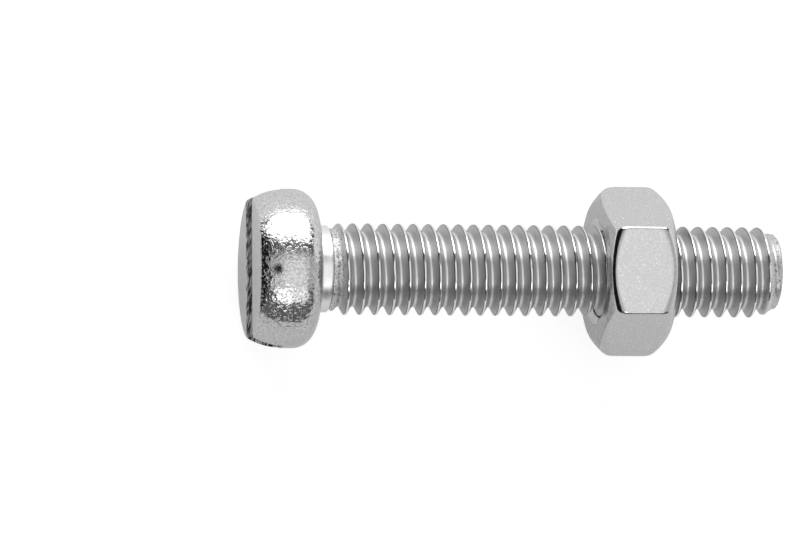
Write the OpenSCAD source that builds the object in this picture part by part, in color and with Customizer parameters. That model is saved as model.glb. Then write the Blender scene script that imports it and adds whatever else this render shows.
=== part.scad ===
// Slotted cheese-head machine screw with a hex nut run onto its thread.
// Millimetres. The screw's axis is X: the head is towards -X and the end towards +X.
// The origin is on the axis, in the plane of the face under the head. The screw
// lies on its side, so Z is up and the slot's length runs close to Y.

/* [Thread] */
// Axial distance from one thread crest to the next
thread_pitch = 0.8; // [0.7:0.05:0.9]
// Diameter over the thread crests
thread_diameter = 4.76; // [4.6:0.02:5]
// Width of the land along a thread crest
crest_land = 0.07; // [0.05:0.01:0.12]
// Width of the land along a thread root
root_land = 0.13; // [0.1:0.01:0.18]
// Distance from the face under the head to the first full crest, at the top of the shank
first_crest = 1.26; // [1.1:0.02:1.5]

/* [Shank] */
// Length from the face under the head to the end
screw_length = 24.6; // [22:0.1:30]
// Diameter of the smooth neck under the head
neck_diameter = 4.5; // [4.3:0.02:4.6]
// Length of the smooth neck
neck_length = 0.68; // [0.4:0.02:0.8]
// Radius of the fillet between the neck and the face under the head
neck_fillet = 0.16; // [0.14:0.01:0.24]
// Diameter of the flat at the end
end_diameter = 3.8; // [3.2:0.05:4]
// Angle of the end's chamfer from the axis
end_angle = 24; // [20:1:45]

/* [Head] */
// Largest diameter of the head
head_diameter = 8.24; // [8:0.02:8.5]
// Height of the head
head_height = 3.34; // [3.1:0.02:3.5]
// Diameter of the flat top of the head
face_diameter = 7.3; // [6.8:0.01:7.6]
// Height of the rounded shoulder between the top and the side
shoulder_height = 1.72; // [1.2:0.02:1.9]
// Radius of the rounding between the side and the face under the head
underside_round = 1.12; // [0.8:0.02:1.3]
// Width of the slot
slot_width = 1.6; // [1.2:0.05:1.7]
// Depth of the slot
slot_depth = 1.65; // [1.3:0.05:1.9]
// Turn of the slot about the screw's axis, from the Y direction, as the screw lies
slot_turn = -3; // [-10:1:10]

/* [Nut] */
// Distance across the flats of the nut
nut_across_flats = 7.72; // [7.5:0.02:8]
// Thickness of the nut
nut_thickness = 3.6; // [3:0.05:4]
// Diameter of the flat face on each side of the nut
nut_face_diameter = 7.26; // [6.8:0.02:7.6]
// Angle between the chamfer and the nut's face
nut_chamfer_angle = 30; // [20:1:35]
// Diameter of the countersink at each end of the bore
nut_countersink = 5.5; // [5.2:0.05:5.8]
// Gap all round between the thread crests and the nut's bore
running_clearance = 0.04; // [0.02:0.01:0.08]
// Number of whole turns the nut stands away from where it jams under the head
nut_turns = 17; // [0:1:24]

/* [Hidden] */
$fn = 96;
thread_columns = 36;                 // facets around the thread
overlap = 0.5;                       // bite of one volume into the next
big = 30;                            // more than any dimension

crest_radius = thread_diameter / 2;
flank_run = (thread_pitch - crest_land - root_land) / 2;
root_radius = crest_radius - flank_run * tan(60);
blank_radius = (crest_radius + root_radius) / 2;   // the wire before its thread was rolled
neck_radius = neck_diameter / 2;
end_radius = end_diameter / 2;
head_radius = head_diameter / 2;
face_radius = face_diameter / 2;

shoulder_drop = head_radius - face_radius;
shoulder_radius = (pow(shoulder_height, 2) + pow(shoulder_drop, 2)) / (2 * shoulder_drop);

bore_radius = crest_radius + running_clearance;
countersink_radius = nut_countersink / 2;
countersink_depth = (countersink_radius - bore_radius) / tan(60);
nut_corner_radius = nut_across_flats / sqrt(3);
nut_face_radius = nut_face_diameter / 2;

ridge_from = neck_length + 0.12;                   // the thread's ridge starts to rise
ridge_full = first_crest + 0.1;                    // the ridge has its full height
nut_position = ridge_full + nut_turns * thread_pitch;   // it jams at the full ridge

// Turns a shape drawn along +Z so that it lies along +X, keeping +Z upwards
module along_x() rotate([0, 90, 0]) children();

// Thread
// One turn of the profile: [axial offset from the crest, radius]
thread_profile = [
    [-crest_land / 2, crest_radius],
    [crest_land / 2, crest_radius],
    [crest_land / 2 + flank_run, root_radius],
    [crest_land / 2 + flank_run + root_land, root_radius]
];
rows_per_turn = len(thread_profile);

thread_start = neck_length - overlap;              // inside the neck
sliver = 0.3 * thread_pitch / thread_columns;      // least distance of a row from either end

function row_x(column, row) =
    first_crest + thread_pitch * (floor(row / rows_per_turn) + column / thread_columns)
    + thread_profile[(row % rows_per_turn + rows_per_turn) % rows_per_turn][0];

function fade(x) = min(1, max(0, (x - ridge_from) / (ridge_full - ridge_from)));

// Radius of a row's vertex: the profile, faded into the blank near the head and
// cut by the chamfer at the end
function row_radius(x, row) =
    let (full = thread_profile[(row % rows_per_turn + rows_per_turn) % rows_per_turn][1])
    min(blank_radius + (full - blank_radius) * fade(x),
        end_radius + (screw_length - x) * tan(end_angle));

function on_column(column, x, r) =
    let (a = 360 * column / thread_columns)
    [x, r * cos(a), r * sin(a)];

// The rows that lie between the two ends, for every column
lowest_row = -3 * rows_per_turn;
highest_row = ceil(screw_length / thread_pitch + 1) * rows_per_turn;
column_rows = [
    for (c = [0 : thread_columns - 1])
    [for (r = [lowest_row : highest_row])
        let (x = row_x(c, r))
        if (x > thread_start + sliver && x < screw_length - sliver) r]
];

// Where each column's vertices start in the list: its start point, its rows, its end point
function sum_to(n, i = 0, total = 0) =
    i == n ? total : sum_to(n, i + 1, total + len(column_rows[i]) + 2);
column_base = [for (c = [0 : thread_columns]) sum_to(c)];

thread_points = [
    for (c = [0 : thread_columns - 1])
    each concat(
        [on_column(c, thread_start, blank_radius)],
        [for (r = column_rows[c]) on_column(c, row_x(c, r), row_radius(row_x(c, r), r))],
        [on_column(c, screw_length, end_radius)])
];

function first_of(c) = column_rows[c][0];
function last_of(c) = column_rows[c][len(column_rows[c]) - 1];
function start_index(c) = column_base[c];
function end_index(c) = column_base[c + 1] - 1;
function row_index(c, r) = column_base[c] + 1 + r - first_of(c);

// The skin between a column and the next. After the last column the same helical
// row carries on one turn further along the first column.
function strip(c) =
    let (n = (c + 1) % thread_columns,
         shift = c == thread_columns - 1 ? rows_per_turn : 0,
         near_first = first_of(c), near_last = last_of(c),
         next_first = first_of(n) - shift, next_last = last_of(n) - shift)
    concat(
        // start plane
        [[start_index(c), start_index(n), row_index(n, next_first + shift)]],
        [for (r = [next_first : 1 : near_first - 1])
            [start_index(c), row_index(n, r + shift), row_index(n, r + 1 + shift)]],
        [[start_index(c), row_index(n, near_first + shift), row_index(c, near_first)]],
        // whole rows
        [for (r = [near_first : 1 : next_last - 1]) each [
            [row_index(c, r), row_index(n, r + shift), row_index(n, r + 1 + shift)],
            [row_index(c, r), row_index(n, r + 1 + shift), row_index(c, r + 1)]]],
        // end plane
        [for (r = [next_last : 1 : near_last - 1])
            [row_index(n, next_last + shift), row_index(c, r + 1), row_index(c, r)]],
        [[row_index(n, next_last + shift), end_index(n), row_index(c, near_last)]],
        [[end_index(n), end_index(c), row_index(c, near_last)]]);

thread_faces = concat(
    [[for (c = [thread_columns - 1 : -1 : 0]) start_index(c)]],
    [for (c = [0 : thread_columns - 1]) each strip(c)],
    [[for (c = [0 : thread_columns - 1]) end_index(c)]]);

// The rolled thread, with its run-out at the neck and its chamfered end
module rolled_thread()
    polyhedron(points = thread_points, faces = [for (f = thread_faces) [for (i = [len(f) - 1 : -1 : 0]) f[i]]],
               convexity = 20);

// Head
// Half section of the head, radius along X and distance from the bearing face along Y
module head_section()
    difference() {
        intersection() {
            translate([0, -head_height]) square([head_radius, head_height]);
            union() {
                translate([0, shoulder_height - head_height])
                    square([big, head_height]);
                translate([head_radius - shoulder_radius, shoulder_height - head_height])
                    circle(r = shoulder_radius);
            }
        }
        difference() {
            translate([head_radius - underside_round, -underside_round])
                square([big, big]);
            translate([head_radius - underside_round, -underside_round])
                circle(r = underside_round);
        }
    }

module slot()
    rotate([slot_turn, 0, 0])
        translate([-head_height - big + slot_depth, -big / 2, -slot_width / 2])
            cube([big, big, slot_width]);

module head()
    difference() {
        along_x() rotate_extrude() head_section();
        slot();
    }

// Half section of the neck, with its fillet against the bearing face
module neck_section()
    difference() {
        translate([0, -overlap])
            square([neck_radius + neck_fillet, neck_length + overlap]);
        difference() {
            translate([neck_radius, 0]) square([big, big]);
            difference() {
                square([neck_radius + neck_fillet, neck_fillet]);
                translate([neck_radius + neck_fillet, neck_fillet]) circle(r = neck_fillet);
            }
        }
    }

module neck() along_x() rotate_extrude() neck_section();

// Nut
// Hexagonal blank with two flats level and two corners sideways
module hexagon_blank()
    along_x() rotate([0, 0, 90])
        cylinder(r = nut_corner_radius, h = nut_thickness, $fn = 6);

// The body of revolution that chamfers the corners at both faces
module chamfer_envelope()
    let (rise = (big / 2 - nut_face_radius) * tan(nut_chamfer_angle))
    along_x() intersection() {
        cylinder(r1 = nut_face_radius, r2 = nut_face_radius + rise / tan(nut_chamfer_angle), h = rise);
        translate([0, 0, nut_thickness - rise])
            cylinder(r1 = nut_face_radius + rise / tan(nut_chamfer_angle), r2 = nut_face_radius, h = rise);
    }

module bore()
    along_x() {
        translate([0, 0, -overlap])
            cylinder(r = bore_radius, h = nut_thickness + 2 * overlap);
        translate([0, 0, -overlap])
            cylinder(r1 = countersink_radius + overlap * tan(60), r2 = bore_radius,
                     h = overlap + countersink_depth);
        translate([0, 0, nut_thickness - countersink_depth])
            cylinder(r1 = bore_radius, r2 = countersink_radius + overlap * tan(60),
                     h = overlap + countersink_depth);
    }

// Pieces
module slotted_screw()
    color([0.62, 0.63, 0.65]) union() {
        head();
        neck();
        rolled_thread();
    }

module hex_nut()
    color([0.72, 0.73, 0.75]) translate([nut_position, 0, 0]) difference() {
        intersection() {
            hexagon_blank();
            chamfer_envelope();
        }
        bore();
    }

slotted_screw();
hex_nut();
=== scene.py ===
import math

import bmesh
import bpy
import numpy as np
from mathutils import Matrix, Vector, noise


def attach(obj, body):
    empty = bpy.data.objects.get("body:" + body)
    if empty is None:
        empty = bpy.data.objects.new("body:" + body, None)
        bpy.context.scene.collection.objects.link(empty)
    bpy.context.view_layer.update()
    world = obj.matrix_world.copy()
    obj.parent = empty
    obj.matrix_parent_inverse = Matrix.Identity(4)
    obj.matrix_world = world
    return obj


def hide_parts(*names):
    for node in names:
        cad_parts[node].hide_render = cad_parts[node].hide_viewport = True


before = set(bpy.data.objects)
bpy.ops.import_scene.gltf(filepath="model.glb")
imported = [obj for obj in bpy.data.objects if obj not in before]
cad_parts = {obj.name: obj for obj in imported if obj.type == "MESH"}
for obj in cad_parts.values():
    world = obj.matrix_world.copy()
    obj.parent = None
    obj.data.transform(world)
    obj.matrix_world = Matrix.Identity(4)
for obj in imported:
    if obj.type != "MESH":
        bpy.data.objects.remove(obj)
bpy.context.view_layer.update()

MM = 0.001
TURN = 2 * math.pi

# Sizes in mm. X runs from the head to the end, and 0 is the face under the head.
PITCH = 0.8
CREST_R = 2.38
CREST_LAND = 0.058           # half width of the crest, between its sharp edges
CREST_ARC = 0.10             # rounding of those edges
ROOT_ARC = 0.15              # rounding of the root
FLANK = math.radians(30)     # of a flank from the plane across the axis
FIRST_CREST = 1.26           # first full crest at the top of the shank
BLANK_R = 2.1                # the wire before its thread was rolled
RUN_OUT_FROM, RUN_OUT_LENGTH = 0.80, 0.56   # where the ridge rises from the wire
TORN_AT, TORN_REACH = 0.98, 0.34            # band torn by the rolling dies
LENGTH = 24.6
END_R, END_ANGLE = 1.9, math.radians(24)
NECK_R, NECK_L, NECK_FILLET = 2.25, 0.68, 0.16
HEAD_R, HEAD_H, FACE_R = 4.12, 3.34, 3.65
SHOULDER = 1.72              # height of the rounded shoulder between the face and the side
UNDER = 1.12                 # rounding between the side and the face under the head
DENT = (-2.53, -0.08, 3.98)  # small dent on the head's near side
DENT_DEPTH, DENT_WIDTH = 0.05, 0.14
SLOT_W, SLOT_D, SLOT_TURN = 1.6, 1.65, math.radians(-3)
SLOT_TOP, SLOT_FLOOR = -HEAD_H, -HEAD_H + SLOT_D
SLOT_BURR = 0.12             # torn bevel along the slot's edges
BURR_END = SLOT_TOP + 0.03   # where the bevel ends and the wall begins
NUT_X, NUT_T, NUT_S, NUT_FACE_R = 14.96, 3.6, 7.72, 3.63
NUT_CHAMFER = math.radians(30)              # from the nut's face
NUT_EDGE_ROUND = 0.40        # rounding between the nut's chamfer and its flats
NUT_CORNER_ROUND = 0.20      # rounding of the hexagon's corners
NUT_KNOCK = 0.30             # more rounding of the corners where they are knocked
SINK_R, SINK_ANGLE = 2.75, math.radians(60)
NUT_MINOR_R, NUT_MAJOR_R = 2.12, CREST_R + 0.10
NUT_LAND, NUT_ROOT_ARC = 0.05, 0.06         # of the nut's own thread, from its major radius inwards

# Facets
THREAD_COLUMNS, HEAD_COLUMNS = 80, 216
ROW_GAP = 0.003              # least distance of a row from either end of a thread's skin
SKIN_FROM = 0.5              # start of the screw's thread skin, inside the neck
FLANK_V = 0.2                # UV of a vertex that is on no thread, as if it were on a flank


def smoothstep(t):
    """0 below 0, 1 above 1, and a smooth rise between them."""
    t = min(1.0, max(0.0, t))
    return t * t * (3 - 2 * t)


def smooth_min(a, b, reach):
    """The lesser of two radii, blended where they lie within reach of each other."""
    h = max(0.0, reach - abs(a - b)) / reach
    return min(a, b) - h * h * reach * 0.25


def bump(p, scale, seed=0.0):
    """Smooth noise at a point in mm, about -1..1."""
    return noise.noise(Vector((p[0] * scale + seed, p[1] * scale - seed, p[2] * scale + 3.1 * seed)))


def relief(p, *layers):
    """Height of an uneven surface at a point, from layers of (height in mm, scale, seed)."""
    return sum(height * bump(p, scale, seed) for height, scale, seed in layers)


def even_angles(count):
    return [TURN * c / count for c in range(count)]


def arc(cx, cr, radius, start, end, count):
    """Points (x, r) of an arc after its first, at angles from the outward direction towards +X."""
    angles = np.linspace(start, end, count)[1:]
    return [(cx + radius * math.sin(t), cr + radius * math.cos(t)) for t in angles]


def shade(mesh, sharp_deg):
    """Smooth shading, with sharp edges where faces meet at more than an angle."""
    mesh.shade_smooth()
    mesh.set_sharp_from_angle(angle=math.radians(sharp_deg))


def new_object(name, verts, faces, uv=None, sharp_deg=35):
    """An object in the scene from vertices in mm, with a UV pair for each vertex."""
    mesh = bpy.data.meshes.new(name)
    points = [tuple(float(c) * MM for c in v) for v in verts]
    mesh.from_pydata(points, [], [tuple(int(i) for i in f) for f in faces])
    if uv is not None:
        layer = mesh.uv_layers.new(name="UVMap")
        index = np.zeros(len(mesh.loops), int)
        mesh.loops.foreach_get("vertex_index", index)
        layer.data.foreach_set("uv", np.asarray(uv, np.float32)[index].ravel())
    mesh.update()
    shade(mesh, sharp_deg)
    obj = bpy.data.objects.new(name, mesh)
    bpy.context.scene.collection.objects.link(obj)
    return obj


def weld(obj, distance):
    """Joins vertices that lie within a distance in mm and turns every face outward."""
    b = bmesh.new()
    b.from_mesh(obj.data)
    bmesh.ops.remove_doubles(b, verts=b.verts, dist=distance * MM)
    bmesh.ops.recalc_face_normals(b, faces=b.faces)
    b.to_mesh(obj.data)
    b.free()


def cut(obj, cutter, sharp_deg):
    """Takes the cutter's volume out of an object, and removes the cutter."""
    modifier = obj.modifiers.new("cut", "BOOLEAN")
    modifier.operation = "DIFFERENCE"
    modifier.solver = "EXACT"
    modifier.object = cutter
    deps = bpy.context.evaluated_depsgraph_get()
    mesh = bpy.data.meshes.new_from_object(obj.evaluated_get(deps))
    obj.modifiers.clear()
    obj.data = mesh
    shade(mesh, sharp_deg)
    bpy.data.objects.remove(cutter, do_unlink=True)
    return obj


# Camera
PHOTO_WIDTH = 800            # pixels
FOCAL = 5407.5               # pixels
SENSOR = 36                  # mm, as are the distance and the point that it looks at
CAMERA_YAW, CAMERA_PITCH, CAMERA_ROLL = math.radians(11.152), math.radians(-0.804), math.radians(0.323)
CAMERA_AIM = Vector((4.584, -0.208, 0))
CAMERA_DISTANCE = 280.25


def camera():
    """The photo's camera: it looks down on the screw, turned a little towards its head."""
    yaw, pitch = CAMERA_YAW, CAMERA_PITCH
    back = Vector((-math.sin(yaw) * math.cos(pitch), math.sin(pitch), math.cos(yaw) * math.cos(pitch)))
    right = Vector((0, 1, 0)).cross(back).normalized()
    up = back.cross(right)
    c, s = math.cos(CAMERA_ROLL), math.sin(CAMERA_ROLL)
    right, up = c * right + s * up, -s * right + c * up
    data = bpy.data.cameras.new("photo_camera")
    data.sensor_width = SENSOR
    data.lens = FOCAL * SENSOR / PHOTO_WIDTH
    data.clip_start, data.clip_end = 0.01, 10
    obj = bpy.data.objects.new("photo_camera", data)
    turn = Matrix((right, up, back)).transposed().to_4x4()
    obj.matrix_world = Matrix.Translation((CAMERA_AIM + back * CAMERA_DISTANCE) * MM) @ turn
    bpy.context.scene.collection.objects.link(obj)
    bpy.context.scene.camera = obj


# Thread
def profile_radius(s, crest_r, land, root_arc, crest_arc=0.0):
    """Radius of a 60 degree thread at axial distance s from the crest, with rounded crest and root."""
    a = abs(s)
    reach = crest_arc * math.tan(FLANK)                       # from the sharp edge to where its arc begins
    if a <= land - reach:
        return crest_r
    if a < land + reach / 2:
        return crest_r - crest_arc + math.sqrt(crest_arc ** 2 - (a - land + reach) ** 2)
    valley = crest_r - (PITCH / 2 - land) / math.tan(FLANK)   # where the flanks would meet
    b = PITCH / 2 - a
    if b < root_arc * math.cos(FLANK):
        return valley + 2 * root_arc - math.sqrt(root_arc ** 2 - b * b)
    return crest_r - (a - land) / math.tan(FLANK)


def profile_steps(land, root_arc, crest_arc=0.0):
    """Distances from the crest at which the skin has a row."""
    root = PITCH / 2 - root_arc * math.cos(FLANK)
    if crest_arc:
        flat = land - crest_arc * math.tan(FLANK)
        side = [flat + crest_arc * math.sin(math.radians(q)) for q in (12, 24, 36, 48, 60)]
    else:
        side = [land * 0.6, land - 0.005, land + 0.008, land + 0.03]
    side += list(np.linspace(side[-1], root, 4)[1:])
    side += [PITCH / 2 - root_arc * k for k in (0.68, 0.5, 0.34, 0.17)]
    return [-s for s in reversed(side)] + [0.0] + side + [PITCH / 2]


def helix_skin(angles, steps, x_from, x_to, radius, r_from, r_to):
    """A skin whose rows follow the helix between two plane rings. radius(x, s, angle) gives its surface.

    Returns vertices, faces, a UV pair for each vertex and the place of each column's first vertex.
    """
    columns, m = len(angles), len(steps)
    first_turn = int(math.floor((x_from - FIRST_CREST) / PITCH)) - 2
    last_turn = int((x_to - FIRST_CREST) / PITCH) + 2
    lists = []
    for a in angles:
        rows = []
        for turn in range(first_turn, last_turn + 1):
            for k, s in enumerate(steps):
                x = FIRST_CREST + PITCH * (turn + a / TURN) + s
                if x_from + ROW_GAP < x < x_to - ROW_GAP:
                    rows.append((turn * m + k, x, s, turn))
        lists.append(rows)
    verts, uv, base = [], [], []
    for c, (a, rows) in enumerate(zip(angles, lists)):
        base.append(len(verts))
        verts.append((x_from, r_from * math.cos(a), r_from * math.sin(a)))
        uv.append((c / columns, FLANK_V))
        for _, x, s, turn in rows:
            r = radius(x, s, a)
            verts.append((x, r * math.cos(a), r * math.sin(a)))
            uv.append(((turn + c / columns) * TURN * CREST_R, abs(s)))
        verts.append((x_to, r_to * math.cos(a), r_to * math.sin(a)))
        uv.append((c / columns, FLANK_V))
    base.append(len(verts))

    def at(col, row):
        return base[col] + 1 + row - lists[col][0][0]

    faces = []
    for c in range(columns):
        n = (c + 1) % columns
        shift = m if c == columns - 1 else 0                  # the first column is one turn further on
        f0, l0 = lists[c][0][0], lists[c][-1][0]
        f1, l1 = lists[n][0][0], lists[n][-1][0]
        nf, nl = f1 - shift, l1 - shift
        start_c, start_n, end_c, end_n = base[c], base[n], base[c + 1] - 1, base[n + 1] - 1
        faces.append((start_c, at(n, f1), start_n))
        for r in range(nf, f0):
            faces.append((start_c, at(n, r + 1 + shift), at(n, r + shift)))
        faces.append((start_c, at(c, f0), at(n, f0 + shift)))
        for r in range(f0, nl):
            faces.append((at(c, r), at(c, r + 1), at(n, r + 1 + shift), at(n, r + shift)))
        for r in range(nl, l0):
            faces.append((at(n, l1), at(c, r), at(c, r + 1)))
        faces.append((at(n, l1), at(c, l0), end_n))
        faces.append((end_n, at(c, l0), end_c))
    return verts, faces, uv, base


def close_end(verts, faces, uv, ring, x, rings, flip):
    """Closes a ring of vertices with smaller rings at x, down to a centre point."""
    last = ring
    n = len(ring)
    for r in rings:
        new = list(range(len(verts), len(verts) + n))
        for c, a in enumerate(even_angles(n)):
            verts.append((x, r * math.cos(a), r * math.sin(a)))
            uv.append((c / n, FLANK_V))
        for c in range(n):
            d = (c + 1) % n
            quad = (last[c], last[d], new[d], new[c])
            faces.append(quad[::-1] if flip else quad)
        last = new
    centre = len(verts)
    verts.append((x, 0, 0))
    uv.append((0, FLANK_V))
    for c in range(n):
        d = (c + 1) % n
        tri = (last[c], last[d], centre)
        faces.append(tri[::-1] if flip else tri)


def end_radius(x, s, p):
    """Radius of the chamfered and rubbed end, on which the thread still shows as low ridges."""
    turn = TURN * s / PITCH
    ridge = 0.05 * math.cos(turn) + 0.02 * math.cos(3 * turn) + 0.03 * bump(p, 4.5, 33.0)
    cone = END_R + (LENGTH - x) * math.tan(END_ANGLE) + 0.012 * bump(p, 2.6, 21.0)
    return cone + ridge * min(1.0, (LENGTH - x) / 0.15)


def screw_radius(x, s, a):
    """Radius of the screw's thread at x, at distance s from the crest and angle a round the axis."""
    noise_r = 2.2                                             # crest and root share their relief
    p = (x, noise_r * math.cos(a), noise_r * math.sin(a))
    full = profile_radius(s, CREST_R, CREST_LAND, ROOT_ARC, CREST_ARC)
    r = BLANK_R + (full - BLANK_R) * smoothstep((x - RUN_OUT_FROM) / RUN_OUT_LENGTH)
    # torn band where the rolling dies stop short of the neck
    torn = max(0.0, 1 - abs(x - TORN_AT) / TORN_REACH)
    r += torn * relief(p, (0.055, 3.1, 2.0), (0.05, 7.5, 9.0))
    # light waviness of a rolled thread, and nicks in its crest
    r += relief(p, (0.004, 1.3, 5.0), (0.003, 6.0, 1.0))
    nick = bump(p, 2.3, 14.0) - 0.42
    if full > CREST_R - 0.06 and nick > 0:
        r -= min(0.03, nick * 0.2)
    return smooth_min(r, end_radius(x, s, p), 0.03)


def thread_skin():
    """The screw's thread from inside the neck to the end, closed on both sides."""
    n = THREAD_COLUMNS
    verts, faces, uv, base = helix_skin(even_angles(n), profile_steps(CREST_LAND, ROOT_ARC, CREST_ARC),
                                        SKIN_FROM, LENGTH, screw_radius, BLANK_R, END_R - 0.05)
    close_end(verts, faces, uv, base[:n], SKIN_FROM, [1.0], False)
    close_end(verts, faces, uv, [base[c + 1] - 1 for c in range(n)], LENGTH, [1.75, 1.2, 0.6], True)
    return new_object("thread_skin", verts, faces, uv)


# Head and neck
def head_profile():
    """Points (x, r) of the head's outside, from the middle of its face to the end of the neck."""
    drop = HEAD_R - FACE_R
    shoulder_r = (SHOULDER ** 2 + drop ** 2) / (2 * drop)
    shoulder_x = SHOULDER - HEAD_H
    fillet_r = NECK_R + NECK_FILLET
    pts = [(-HEAD_H, r) for r in np.linspace(0, FACE_R - 0.1, 26)]
    pts += [(-HEAD_H, FACE_R - 0.05), (-HEAD_H + 0.006, FACE_R - 0.012), (-HEAD_H + 0.03, FACE_R + 0.012)]
    pts += arc(shoulder_x, HEAD_R - shoulder_r, shoulder_r, -math.asin(SHOULDER / shoulder_r), 0, 44)
    pts += [(x, HEAD_R) for x in np.linspace(shoulder_x, -UNDER, 14)[1:]]
    pts += arc(-UNDER, HEAD_R - UNDER, UNDER, 0, math.pi / 2, 24)
    pts += [(0, r) for r in np.linspace(HEAD_R - UNDER, fillet_r, 6)[1:]]
    pts += arc(NECK_FILLET, fillet_r, NECK_FILLET, -math.pi / 2, -math.pi, 5)
    pts += [(x, NECK_R) for x in np.linspace(NECK_FILLET, NECK_L - 0.03, 8)[1:]]
    # the neck's end is rounded and closes inside the thread's skin
    pts += [(NECK_L - 0.008, NECK_R - 0.01), (NECK_L, NECK_R - 0.04)]
    pts += [(NECK_L + 0.02, 2.12), (NECK_L + 0.03, 1.9)]
    return pts


def head_relief(p, r):
    """Height of the forged skin at a point p of the head or neck, at radius r."""
    # shallow hollows, deeper on the side than on the top and the underside
    side = min(1.0, max(0.0, (p[0] + HEAD_H - 0.05) / 0.4)) * (1.0 if p[0] < -0.1 else 0.15)
    height = side * relief(p, (0.008, 0.8, 3.0), (0.004, 2.1, 8.0), (0.003, 5.0, 4.0))
    if p[0] > -0.001 and r <= NECK_R + 0.001:
        height += 0.008 * bump(p, 2.5, 6.0)
    return height - DENT_DEPTH * math.exp(-(math.dist(p, DENT) / DENT_WIDTH) ** 2)


def head_solid():
    """The head and the neck, without the slot."""
    pts = head_profile()
    n = HEAD_COLUMNS
    verts, faces = [(-HEAD_H, 0, 0)], []
    for x, r in pts[1:]:
        for a in even_angles(n):
            p = (x, r * math.cos(a), r * math.sin(a))
            k = (r + head_relief(p, r)) / r if r > 0.3 else 1.0
            verts.append((x, p[1] * k, p[2] * k))
    rows = len(pts) - 1
    for c in range(n):
        faces.append((0, 1 + c, 1 + (c + 1) % n))
    for k in range(rows - 1):
        for c in range(n):
            d = (c + 1) % n
            a0, b0 = 1 + k * n, 1 + (k + 1) * n
            faces.append((a0 + c, b0 + c, b0 + d, a0 + d))
    centre = len(verts)
    verts.append((pts[-1][0], 0, 0))
    last = 1 + (rows - 1) * n
    for c in range(n):
        faces.append((last + (c + 1) % n, last + c, centre))
    return new_object("head_skin", verts, faces)


def slot_relief(x, y, z):
    """Shift along X and Z of a point of the slot's cutter: uneven walls, and a ragged burr at the top."""
    if x > BURR_END:
        dx = 0.012 * bump((0, y * 0.35, z * 6), 1.0, 31.0) + 0.006 * bump((0, y * 1.2, z * 11), 1.0, 12.0)
        return dx, 0.008 * bump((x * 5, y * 0.5, 0), 1.0, 17.0)
    if x > SLOT_TOP - 0.3:
        ragged = 0.06 * bump((0, y * 2.2, z), 1.0, 41.0) + 0.04 * bump((0, y * 5.5, z), 1.0, 43.0)
        return 0, math.copysign(max(ragged, -0.8 * SLOT_BURR), z)
    return 0, 0


def slot_cutter():
    """The slot's volume, right across the head and turned about the screw's axis."""
    w = SLOT_W / 2
    burr = w + SLOT_BURR
    wall_top = SLOT_TOP + 0.09
    half = [(SLOT_TOP - 0.6, burr), (SLOT_TOP - 0.004, burr), (BURR_END, w + 0.3 * SLOT_BURR), (wall_top, w)]
    half += [(x, w) for x in np.linspace(wall_top, SLOT_FLOOR - 0.1, 9)[1:]]
    half += [(SLOT_FLOOR - 0.04, w - 0.015), (SLOT_FLOOR - 0.01, w - 0.05)]
    half += [(SLOT_FLOOR, z) for z in np.linspace(w - 0.1, 0, 9)[:-1]]
    section = half + [(SLOT_FLOOR, 0)] + [(x, -z) for x, z in reversed(half)]
    ys = np.linspace(-5, 5, 201)
    c, s = math.cos(SLOT_TURN), math.sin(SLOT_TURN)
    verts, faces, m = [], [], len(section)
    for y in ys:
        for x, z in section:
            dx, dz = slot_relief(x, y, z)
            verts.append((x + dx, y * c - (z + dz) * s, y * s + (z + dz) * c))
    for j in range(len(ys) - 1):
        for i in range(m):
            k = (i + 1) % m
            faces.append((j * m + i, j * m + k, (j + 1) * m + k, (j + 1) * m + i))
    faces.append(tuple(range(m))[::-1])
    faces.append(tuple((len(ys) - 1) * m + i for i in range(m)))
    return new_object("slot_cutter", verts, faces)


# Nut
def hexagon_radius(a, rounding):
    """Distance from the axis to the hexagon's side at angle a, with its corners rounded."""
    half = NUT_S / 2
    a = (a + math.pi / 6) % (math.pi / 3) - math.pi / 6       # 0 at a corner
    plain = half / math.cos(math.pi / 6 - abs(a))
    centre = (half - rounding) / math.cos(math.pi / 6)        # centre of the corner's arc
    reach = math.atan2(rounding * 0.5, centre + rounding * math.cos(math.pi / 6))
    if abs(a) >= reach:
        return plain
    return centre * math.cos(a) + math.sqrt(rounding ** 2 - (centre * math.sin(a)) ** 2)


def nut_profile(a):
    """Points (x, r) of the nut's outside at angle a, from one countersink's edge to the other."""
    r_side = hexagon_radius(a, NUT_CORNER_ROUND)
    run = (r_side - NUT_FACE_R) / math.cos(NUT_CHAMFER)
    rise = (r_side - NUT_FACE_R) * math.tan(NUT_CHAMFER)
    blend = min(NUT_EDGE_ROUND + 0.8 * (r_side - NUT_S / 2), 0.9 * run / math.tan(NUT_CHAMFER))
    reach = blend * math.tan(NUT_CHAMFER)                     # from the edge to where its arc begins
    near = [(0, r) for r in np.linspace(SINK_R, NUT_FACE_R, 9)[:-1]]
    near += [(0, NUT_FACE_R - 0.03), (0.003, NUT_FACE_R + 0.004)]
    for k in np.linspace(0.1, 1, 6):
        along = (run - reach) * k
        near.append((along * math.sin(NUT_CHAMFER), NUT_FACE_R + along * math.cos(NUT_CHAMFER)))
    near += arc(rise + reach, r_side - blend, blend, -math.radians(60), 0, 10)
    near += [(x, r_side) for x in np.linspace(rise + reach, NUT_T / 2, 8)[1:]]
    return near + [(NUT_T - x, r) for x, r in reversed(near[:-1])]


def nut_columns():
    """Angles round the nut, closer together at the corners."""
    near_corner = (0.004, 0.010, 0.016, 0.023, 0.032, 0.044, 0.058, 0.074)
    widest = near_corner[-1]
    angles = []
    for k in range(6):
        corner = k * math.pi / 3
        for d in near_corner:
            angles += [corner - d, corner + d]
        angles += list(corner + np.linspace(widest, math.pi / 3 - widest, 24)[1:-1])
    return sorted(a % TURN for a in angles)


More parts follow.
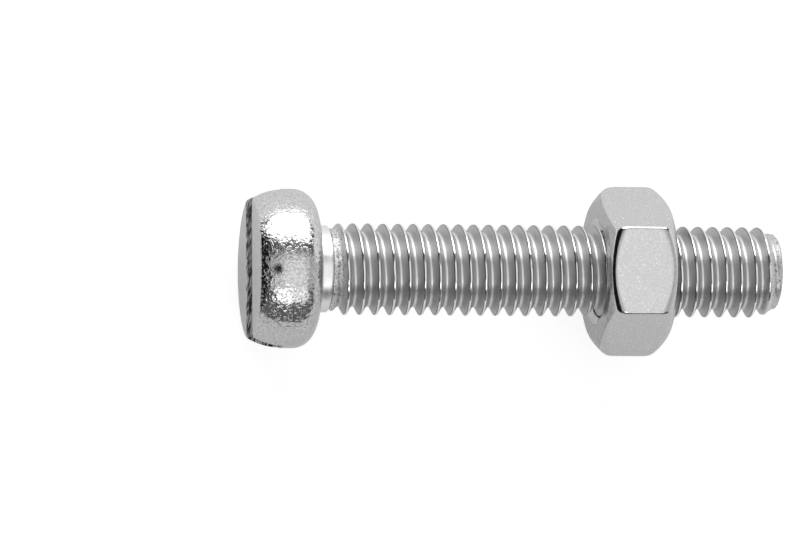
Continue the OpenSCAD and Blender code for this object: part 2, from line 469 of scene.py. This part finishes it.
def nut_inner_radius(x, s, a):
    """The nut's own thread with the countersink at both ends, the same at every angle."""
    r = max(profile_radius(s, NUT_MAJOR_R, NUT_LAND, NUT_ROOT_ARC), NUT_MINOR_R)
    t = x - NUT_X
    cone = SINK_R - min(t, NUT_T - t) * math.tan(SINK_ANGLE)
    return max(r, cone)


def nut():
    """The nut, its outside and its inner thread welded to one skin."""
    angles = nut_columns()
    n = len(angles)
    verts, faces = [], []
    for a in angles:
        for x, r in nut_profile(a):
            # the corners are knocked rounder towards both faces
            knock = NUT_KNOCK * smoothstep((1.05 - min(x, NUT_T - x)) / 0.55)
            r = min(r, hexagon_radius(a, NUT_CORNER_ROUND + knock))
            p = (NUT_X + x, r * math.cos(a), r * math.sin(a))
            k = (r + relief(p, (0.004, 0.8, 11.0), (0.003, 2.4, 7.0))) / r if r > SINK_R else 1.0
            verts.append((p[0], p[1] * k, p[2] * k))
    m = len(nut_profile(0.0))
    for c in range(n):
        d = (c + 1) % n
        for k in range(m - 1):
            faces.append((c * m + k, c * m + k + 1, d * m + k + 1, d * m + k))
    inner, inner_faces, _, _ = helix_skin(angles, profile_steps(NUT_LAND, NUT_ROOT_ARC),
                                          NUT_X, NUT_X + NUT_T, nut_inner_radius, SINK_R, SINK_R)
    first = len(verts)
    verts += inner
    faces += [tuple(first + i for i in f)[::-1] for f in inner_faces]
    obj = new_object("nut_skin", verts, faces, sharp_deg=28)
    weld(obj, 0.0004)
    return obj


# Material nodes
IN_MM = (1000, 1000, 1000)   # scale of the coordinates that makes them millimetres


def new_metal(name):
    """A material with one metallic shader: the material, its node tree and the shader."""
    mat = bpy.data.materials.new(name)
    mat.use_nodes = True
    tree = mat.node_tree
    tree.nodes.clear()
    out = tree.nodes.new("ShaderNodeOutputMaterial")
    shader = tree.nodes.new("ShaderNodeBsdfPrincipled")
    tree.links.new(shader.outputs[0], out.inputs[0])
    shader.inputs["Metallic"].default_value = 1.0
    return mat, tree, shader


def coordinate(tree, source, axis):
    """One axis of a texture coordinate."""
    parts = tree.nodes.new("ShaderNodeSeparateXYZ")
    tree.links.new(tree.nodes.new("ShaderNodeTexCoord").outputs[source], parts.inputs[0])
    return parts.outputs[axis]


def mapped(tree, scale, source="Object", turn=0.0):
    """Scaled coordinates, turned about the Z axis first."""
    vector = tree.nodes.new("ShaderNodeTexCoord").outputs[source]
    for name, value in (("Rotation", (0, 0, math.radians(turn))), ("Scale", scale)):
        m = tree.nodes.new("ShaderNodeMapping")
        m.inputs[name].default_value = value
        tree.links.new(vector, m.inputs["Vector"])
        vector = m.outputs[0]
    return vector


def math_node(tree, operation, *values):
    """A math node whose inputs are numbers or sockets."""
    node = tree.nodes.new("ShaderNodeMath")
    node.operation = operation
    for socket, value in zip(node.inputs, values):
        if isinstance(value, (int, float)):
            socket.default_value = value
        else:
            tree.links.new(value, socket)
    return node.outputs[0]


def map_range(tree, value, low, high, to=(0.0, 1.0), smooth=False):
    """Goes from to[0] to to[1] while the value goes from low to high."""
    node = tree.nodes.new("ShaderNodeMapRange")
    if smooth:
        node.interpolation_type = "SMOOTHSTEP"
    node.inputs["From Min"].default_value, node.inputs["From Max"].default_value = low, high
    node.inputs["To Min"].default_value, node.inputs["To Max"].default_value = to
    tree.links.new(value, node.inputs["Value"])
    return node.outputs["Result"]


def noise_tex(tree, vector, scale, detail, rough):
    node = tree.nodes.new("ShaderNodeTexNoise")
    for name, value in (("Scale", scale), ("Detail", detail), ("Roughness", rough)):
        node.inputs[name].default_value = value
    tree.links.new(vector, node.inputs["Vector"])
    return node.outputs["Fac"]


def ramp(tree, fac, stops):
    """A ramp of grey levels, from stops of (position, level)."""
    node = tree.nodes.new("ShaderNodeValToRGB")
    elements = node.color_ramp.elements
    while len(elements) < len(stops):
        elements.new(0.5)
    for element, (position, level) in zip(elements, stops):
        element.position = position
        element.color = (level, level, level, 1)
    tree.links.new(fac, node.inputs["Fac"])
    return node.outputs["Color"]


def set_bump(tree, shader, *layers):
    """Gives a shader bump layers that lie on each other, each (texture, height in mm)."""
    normal = None
    for texture, height in layers:
        node = tree.nodes.new("ShaderNodeBump")
        node.inputs["Strength"].default_value = 1.0
        node.inputs["Distance"].default_value = height * MM
        tree.links.new(texture, node.inputs["Height"])
        if normal is not None:
            tree.links.new(normal, node.inputs["Normal"])
        normal = node.outputs["Normal"]
    tree.links.new(normal, shader.inputs["Normal"])


def set_levels(tree, shader, fac, colours, roughness):
    """Colour and roughness of a metal, from ramps over the same texture."""
    tree.links.new(ramp(tree, fac, colours), shader.inputs["Base Color"])
    tree.links.new(ramp(tree, fac, roughness), shader.inputs["Roughness"])


def cloudy_levels(tree, shader, vector, scale, colours, roughness):
    """Cloudy colour and roughness of a metal, between two levels each."""
    low, high = 0.35, 0.65
    set_levels(tree, shader, noise_tex(tree, vector, scale, 4, 0.6),
               [(low, colours[0]), (high, colours[1])], [(low, roughness[0]), (high, roughness[1])])


def along_x(tree, low, high):
    """Rises from 0 to 1 between two places along the screw, in mm."""
    return map_range(tree, coordinate(tree, "Object", "X"), low * MM, high * MM, smooth=True)


def around(tree, place, inner, outer):
    """1 within the inner distance of a place on the part, in mm, and 0 beyond the outer one."""
    ragged = 0.30                                             # shift of the border inwards or outwards
    dist = tree.nodes.new("ShaderNodeVectorMath")
    dist.operation = "DISTANCE"
    dist.inputs[1].default_value = [c * MM for c in place]
    tree.links.new(tree.nodes.new("ShaderNodeTexCoord").outputs["Object"], dist.inputs[0])
    border = noise_tex(tree, mapped(tree, IN_MM), 8.0, 3, 0.7)
    reach = math_node(tree, "MULTIPLY_ADD", border, -2 * ragged * MM, dist.outputs["Value"])
    return map_range(tree, reach, (outer - ragged) * MM, (inner - ragged) * MM)


def darken(tree, shader, mask, value):
    """Mixes a grey into the base colour where the mask is 1."""
    mix = tree.nodes.new("ShaderNodeMix")
    mix.data_type = "RGBA"
    base = shader.inputs["Base Color"]
    source = base.links[0].from_socket
    tree.links.new(mask, mix.inputs[0])
    tree.links.new(source, mix.inputs[6])
    mix.inputs[7].default_value = (value, value, value, 1)
    tree.links.new(mix.outputs[2], base)


def streaked_metal(name, scale, turn, detail, rough, colours, roughness, height):
    """A metal whose streaks set its colour, its roughness and its bump, up to a height in mm."""
    mat, tree, sh = new_metal(name)
    streak = noise_tex(tree, mapped(tree, scale, turn=turn), 1.0, detail, rough)
    set_levels(tree, sh, streak, colours, roughness)
    set_bump(tree, sh, (streak, height))
    return mat


# Materials of the screw
def head_metal():
    """Cold-forged side of the head: bright, with a fine crumpled skin and one small dent."""
    mat, tree, sh = new_metal("head_metal")
    v = mapped(tree, IN_MM)
    cloudy_levels(tree, sh, v, 8.0, (0.56, 0.80), (0.04, 0.09))
    # painted shade in the small dent
    darken(tree, sh, around(tree, DENT, 0.13, 0.34), 0.06)
    hollows = noise_tex(tree, v, 1.6, 3, 0.55)
    crumple = noise_tex(tree, v, 6.5, 2, 0.6)
    pimples = ramp(tree, noise_tex(tree, v, 6.5, 2, 0.5), [(0.50, 0.0), (0.70, 1.0)])
    grain = noise_tex(tree, v, 16.0, 2, 0.6)
    set_bump(tree, sh, (hollows, 0.014), (crumple, 0.011), (pimples, 0.008), (grain, 0.0010))
    return mat


def face_metal():
    """Flat top of the head: satin, with faint straight scratches."""
    mat, tree, sh = new_metal("face_metal")
    v = mapped(tree, IN_MM)
    cloudy_levels(tree, sh, v, 3.0, (0.43, 0.60), (0.16, 0.26))
    scratches = noise_tex(tree, mapped(tree, (1000, 5200, 700)), 1.6, 4, 0.65)
    grain = noise_tex(tree, v, 10.0, 3, 0.6)
    set_bump(tree, sh, (scratches, 0.006), (grain, 0.006))
    return mat


def slot_floor_metal():
    """Bright floor of the slot, with the saw's marks lengthwise."""
    return streaked_metal("slot_floor_metal", scale=(3000, 350, 7000), turn=0, detail=5, rough=0.62,
                          colours=[(0.36, 0.62), (0.60, 0.92)],
                          roughness=[(0.3, 0.26), (0.7, 0.40)], height=0.02)


def slot_metal():
    """Sawn walls of the slot: streaked lengthwise, with painted shade that makes them dark."""
    # the low colour levels are painted shade inside the slot
    return streaked_metal("slot_metal", scale=(12000, 1700, 8000), turn=14, detail=3, rough=0.62,
                          colours=[(0.42, 0.06), (0.60, 0.80)],
                          roughness=[(0.3, 0.34), (0.7, 0.50)], height=0.05)


def neck_metal():
    """Smooth bright neck, with faint rings."""
    return streaked_metal("neck_metal", scale=(9000, 700, 700), turn=0, detail=3, rough=0.6,
                          colours=[(0.35, 0.95), (0.65, 1.0)],
                          roughness=[(0.35, 0.28), (0.65, 0.36)], height=0.006)


def thread_metal():
    """Rolled thread: smooth flanks with faint lines along them, torn where the thread starts."""
    mat, tree, sh = new_metal("thread_metal")
    v = mapped(tree, IN_MM)
    # twice the distance from the crest in mm, so 0 at the crest and 0.8 at the root
    off_crest = math_node(tree, "MULTIPLY", coordinate(tree, "UV", "Y"), 2.0)
    place = math_node(tree, "MULTIPLY_ADD", noise_tex(tree, v, 1.5, 3, 0.6), 0.02, off_crest)
    # burnished round crest, satin flank, lighter root
    set_levels(tree, sh, place, [(0.09, 1.0), (0.13, 0.54), (0.66, 0.60), (0.74, 0.84)],
               [(0.16, 0.10), (0.20, 0.34), (0.60, 0.45), (0.74, 0.38)])
    # painted dark reflection on the crest's edge, on the side towards the head
    headward = math_node(tree, "MULTIPLY", coordinate(tree, "Normal", "X"), -1.0)
    edge = ramp(tree, place, [(0.16, 1.0), (0.20, 0.0)])
    painted_dark_edge = math_node(tree, "MULTIPLY", ramp(tree, headward, [(0.30, 0.0), (0.42, 1.0)]), edge)
    # painted dark reflection: the crest's edge darkened on its side towards the head
    darken(tree, sh, painted_dark_edge, 0.26)
    # torn start: pitted, with painted shade in the groove against the neck
    torn = noise_tex(tree, v, 9.0, 4, 0.75)
    start = math_node(tree, "SUBTRACT", 1.0, along_x(tree, TORN_AT + 0.12, TORN_AT + 0.47))
    darken(tree, sh, start, 0.80)
    # painted shade in the corner where the thread meets the neck
    groove_shade = math_node(tree, "SUBTRACT", along_x(tree, NECK_L - 0.02, NECK_L + 0.02),
                       along_x(tree, NECK_L + 0.06, NECK_L + 0.12))
    darken(tree, sh, groove_shade, 0.30)
    pits = ramp(tree, torn, [(0.41, 1.0), (0.47, 0.0)])
    darken(tree, sh, math_node(tree, "MULTIPLY", pits, start), 0.20)
    # rubbed bright end, with chips on its chamfer
    darken(tree, sh, along_x(tree, LENGTH - 0.9, LENGTH - 0.5), 0.72)
    chips = ramp(tree, noise_tex(tree, v, 5.0, 4, 0.7), [(0.38, 1.0), (0.43, 0.0)])
    chamfer = math_node(tree, "SUBTRACT", along_x(tree, LENGTH - 1.2, LENGTH - 0.7),
                        along_x(tree, LENGTH - 0.15, LENGTH - 0.02))
    darken(tree, sh, math_node(tree, "MULTIPLY", chips, chamfer), 0.25)
    lines = noise_tex(tree, mapped(tree, (0.35, 16, 1), "UV"), 1.0, 4, 0.6)
    grain = noise_tex(tree, v, 7.0, 3, 0.6)
    set_bump(tree, sh, (lines, 0.004), (grain, 0.003), (math_node(tree, "MULTIPLY", torn, start), 0.03))
    return mat


def slot_wall(poly, x, y, z):
    """Whether a face of the head's mesh came from the slot's cutter and not from the blank."""
    inside = SLOT_TOP + 0.002 < x < SLOT_FLOOR + 0.05
    outward = poly.normal.y * y + poly.normal.z * z
    return inside and outward < 0.75 * math.hypot(y, z)


def head_materials(obj):
    """Side, face, slot and neck of the head, told apart by where each face of the mesh lies."""
    for make in (head_metal, face_metal, slot_metal, neck_metal, slot_floor_metal):
        obj.data.materials.append(make())
    side, face, wall, neck, slot_floor = range(5)
    for poly in obj.data.polygons:
        x, y, z = poly.center / MM
        across = z * math.cos(SLOT_TURN) - y * math.sin(SLOT_TURN)
        poly.material_index = side
        if x > 0.0 and math.hypot(y, z) < NECK_R + 0.2:
            poly.material_index = neck
        elif abs(across) < SLOT_W / 2 + SLOT_BURR + 0.1 and slot_wall(poly, x, y, z):
            poly.material_index = slot_floor if x > SLOT_FLOOR - 0.08 else wall
        elif poly.normal.x < -0.97:
            poly.material_index = face


def screw():
    """Head, neck and thread of the screw as one object."""
    head = cut(head_solid(), slot_cutter(), sharp_deg=30)
    head_materials(head)
    thread = thread_skin()
    thread.data.materials.append(thread_metal())
    bpy.ops.object.select_all(action="DESELECT")
    thread.select_set(True)
    head.select_set(True)
    bpy.context.view_layer.objects.active = head
    bpy.ops.object.join()
    head.name = "screw_skin"
    return head


# Materials of the nut
def nut_metal():
    """Flats of the nut: bright, with a fine sparkling grain."""
    mat, tree, sh = new_metal("nut_metal")
    v = mapped(tree, IN_MM)
    cloudy = noise_tex(tree, v, 1.2, 4, 0.6)
    tree.links.new(ramp(tree, cloudy, [(0.35, 0.07), (0.65, 0.11)]), sh.inputs["Roughness"])
    grain = noise_tex(tree, v, 9.0, 5, 0.75)
    sparkle = ramp(tree, grain, [(0.36, 0.63), (0.50, 0.70), (0.60, 0.73), (0.64, 1.0)])
    tree.links.new(sparkle, sh.inputs["Base Color"])
    set_bump(tree, sh, (grain, 0.003), (noise_tex(tree, v, 2.0, 3, 0.6), 0.006))
    return mat


def nut_face_metal():
    """Faces and chamfers of the nut: turned, and greyer than the flats, partly from their finish and partly
    as painted shade on the chamfers.
    """
    mat, tree, sh = new_metal("nut_face_metal")
    v = mapped(tree, IN_MM)
    # the grey levels are partly painted shade on the chamfers
    cloudy_levels(tree, sh, v, 3.0, (0.42, 0.58), (0.14, 0.24))
    set_bump(tree, sh, (noise_tex(tree, v, 9.0, 4, 0.7), 0.005))
    return mat


def nut_materials(obj):
    """Flats and inner thread of the nut, and its faces with their chamfers."""
    for make in (nut_metal, nut_face_metal):
        obj.data.materials.append(make())
    flat, face = range(2)
    for poly in obj.data.polygons:
        _, y, z = poly.center / MM
        on_face = abs(poly.normal.x) > 0.80 and math.hypot(y, z) > SINK_R
        poly.material_index = face if on_face else flat


# Floor and light
FLOOR_GAP = 0.012            # mm, from the head's largest radius to the floor
FLOOR_HALF = 0.9             # m
FLOOR_ALBEDO = 0.62
FLOOR_GLOW = 0.70            # towards the camera, so that the floor shows white
FLOOR_GLOW_IN_METAL = (0.23, 0.36)          # towards glossy and transmission rays, on the -Y and +Y side
FLOOR_GLOW_SPAN = (-10, 13)                 # mm along Y, between which that glow changes
STUDIO_CENTRE = Vector((-2, 0, 0))          # mm; the head, from where the lamp's angles are counted
OPEN_LEVEL = 0.62            # of the studio where no patch covers it
HORIZON_LEVEL = 0.95         # at the horizon and below it

# Patches of the studio, each over the ones before it: (theta from, to), (phi from, to), softness
# of its edges in degrees, level. The angles are those of direction().
PATCHES = [
    ((-90, 90), (34, 200), 6, 0.94),       # pale wall behind
    ((-90, 56), (-86, 89), 3, 0.13),       # the opening
    ((30, 58), (-34, 24), 5, 0.52),        # grey wall on the right
    ((-90, -36), (-80, 70), 2, 0.01),      # dark room on the left
    ((-35, 30), (-34, 20), 4, 0.58),       # ceiling
    ((-12, 24), (-26, 20), 14, 0.95),      # lit part of the ceiling
    ((0, 27), (-52, -30), 5, 1.10),        # light of the small lamp on the ceiling
    ((-20, 2), (-50, -34), 4, 3.0),        # small lamp in front
]


def floor():
    """A pale matt floor, which takes the object's shadow and glows a little so that it shows white."""
    mesh = bpy.data.meshes.new("floor")
    s, z = FLOOR_HALF, -(HEAD_R + FLOOR_GAP) * MM
    mesh.from_pydata([(-s, -s, z), (s, -s, z), (s, s, z), (-s, s, z)], [], [(0, 1, 2, 3)])
    obj = bpy.data.objects.new("floor", mesh)
    bpy.context.scene.collection.objects.link(obj)
    mat = bpy.data.materials.new("floor_white")
    mat.use_nodes = True
    tree = mat.node_tree
    tree.nodes.clear()
    out = tree.nodes.new("ShaderNodeOutputMaterial")
    matt = tree.nodes.new("ShaderNodeBsdfDiffuse")
    matt.inputs["Color"].default_value = (FLOOR_ALBEDO, FLOOR_ALBEDO, FLOOR_ALBEDO, 1)
    emit = tree.nodes.new("ShaderNodeEmission")
    ray = tree.nodes.new("ShaderNodeLightPath").outputs
    mirrored = math_node(tree, "MAXIMUM", ray["Is Glossy Ray"], ray["Is Transmission Ray"])
    low, high = FLOOR_GLOW_SPAN
    level = map_range(tree, coordinate(tree, "Object", "Y"), low * MM, high * MM, FLOOR_GLOW_IN_METAL)
    glow = math_node(tree, "MULTIPLY", mirrored, level)
    seen = math_node(tree, "MULTIPLY", ray["Is Camera Ray"], FLOOR_GLOW)
    tree.links.new(math_node(tree, "MAXIMUM", glow, seen), emit.inputs["Strength"])
    both = tree.nodes.new("ShaderNodeAddShader")
    tree.links.new(matt.outputs[0], both.inputs[0])
    tree.links.new(emit.outputs[0], both.inputs[1])
    tree.links.new(both.outputs[0], out.inputs[0])
    mesh.materials.append(mat)


def direction(theta, phi):
    """Unit vector at phi degrees round the X axis, from up towards +Y, and theta degrees towards +X."""
    t, p = math.radians(theta), math.radians(phi)
    return Vector((math.sin(t), math.cos(t) * math.sin(p), math.cos(t) * math.cos(p)))


def softbox(thetas, phis, dist, radiance):
    """An oval lamp that fills the given angles as the head sees them, at a distance in mm."""
    data = bpy.data.lights.new("softbox", "AREA")
    data.shape = "ELLIPSE"
    data.size = 2 * dist * math.tan(math.radians(thetas[1] - thetas[0]) / 2) * MM
    data.size_y = 2 * dist * math.tan(math.radians(phis[1] - phis[0]) / 2) * MM
    data.energy = radiance * math.pi * (math.pi / 4 * data.size * data.size_y)
    z = direction(sum(thetas) / 2, sum(phis) / 2)
    x = (Vector((1, 0, 0)) - z * z.x).normalized()
    obj = bpy.data.objects.new("softbox", data)
    turn = Matrix((x, z.cross(x), z)).transposed().to_4x4()
    obj.matrix_world = Matrix.Translation((STUDIO_CENTRE + z * dist) * MM) @ turn
    obj.visible_camera = False
    bpy.context.scene.collection.objects.link(obj)


def studio_world():
    """A pale tent with a dark opening overhead, in which the ceiling and a small lamp show."""
    world = bpy.data.worlds.new("studio")
    bpy.context.scene.world = world
    world.use_nodes = True
    tree = world.node_tree
    x, y, z = (coordinate(tree, "Generated", axis) for axis in "XYZ")
    theta = math_node(tree, "DEGREES", math_node(tree, "ARCSINE", x))
    phi = math_node(tree, "DEGREES", math_node(tree, "ARCTAN2", y, z))

    def rise(value, at, soft):
        return map_range(tree, value, at - soft, at + soft, smooth=True)

    def fall(value, at, soft):
        return map_range(tree, value, at + soft, at - soft, smooth=True)

    def mixed(old, new, mask):
        node = tree.nodes.new("ShaderNodeMix")
        tree.links.new(mask, node.inputs["Factor"])
        for name, value in (("A", old), ("B", new)):
            if isinstance(value, float):
                node.inputs[name].default_value = value
            else:
                tree.links.new(value, node.inputs[name])
        return node.outputs["Result"]

    level = OPEN_LEVEL
    for thetas, phis, soft, patch_level in PATCHES:
        mask = math_node(tree, "MULTIPLY", rise(theta, thetas[0], soft), fall(theta, thetas[1], soft))
        mask = math_node(tree, "MULTIPLY", mask, rise(phi, phis[0], soft))
        mask = math_node(tree, "MULTIPLY", mask, fall(phi, phis[1], soft))
        level = mixed(level, patch_level, mask)
    level = mixed(level, HORIZON_LEVEL, fall(z, 0.05, 0.025))
    background = tree.nodes["Background"]
    tree.links.new(level, background.inputs["Strength"])
    background.inputs["Color"].default_value = (1, 1, 1, 1)


def light():
    studio_world()
    softbox(thetas=(-33, 43), phis=(40, 87), dist=300, radiance=2.3)
    bpy.context.scene.view_settings.view_transform = "Standard"


# Assembly
camera()

head = screw()               # the head's object, with neck and thread in it
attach(head, "screw")
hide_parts("slotted_screw")

nut_obj = nut()
nut_materials(nut_obj)
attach(nut_obj, "nut")
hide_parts("hex_nut")

floor()
light()
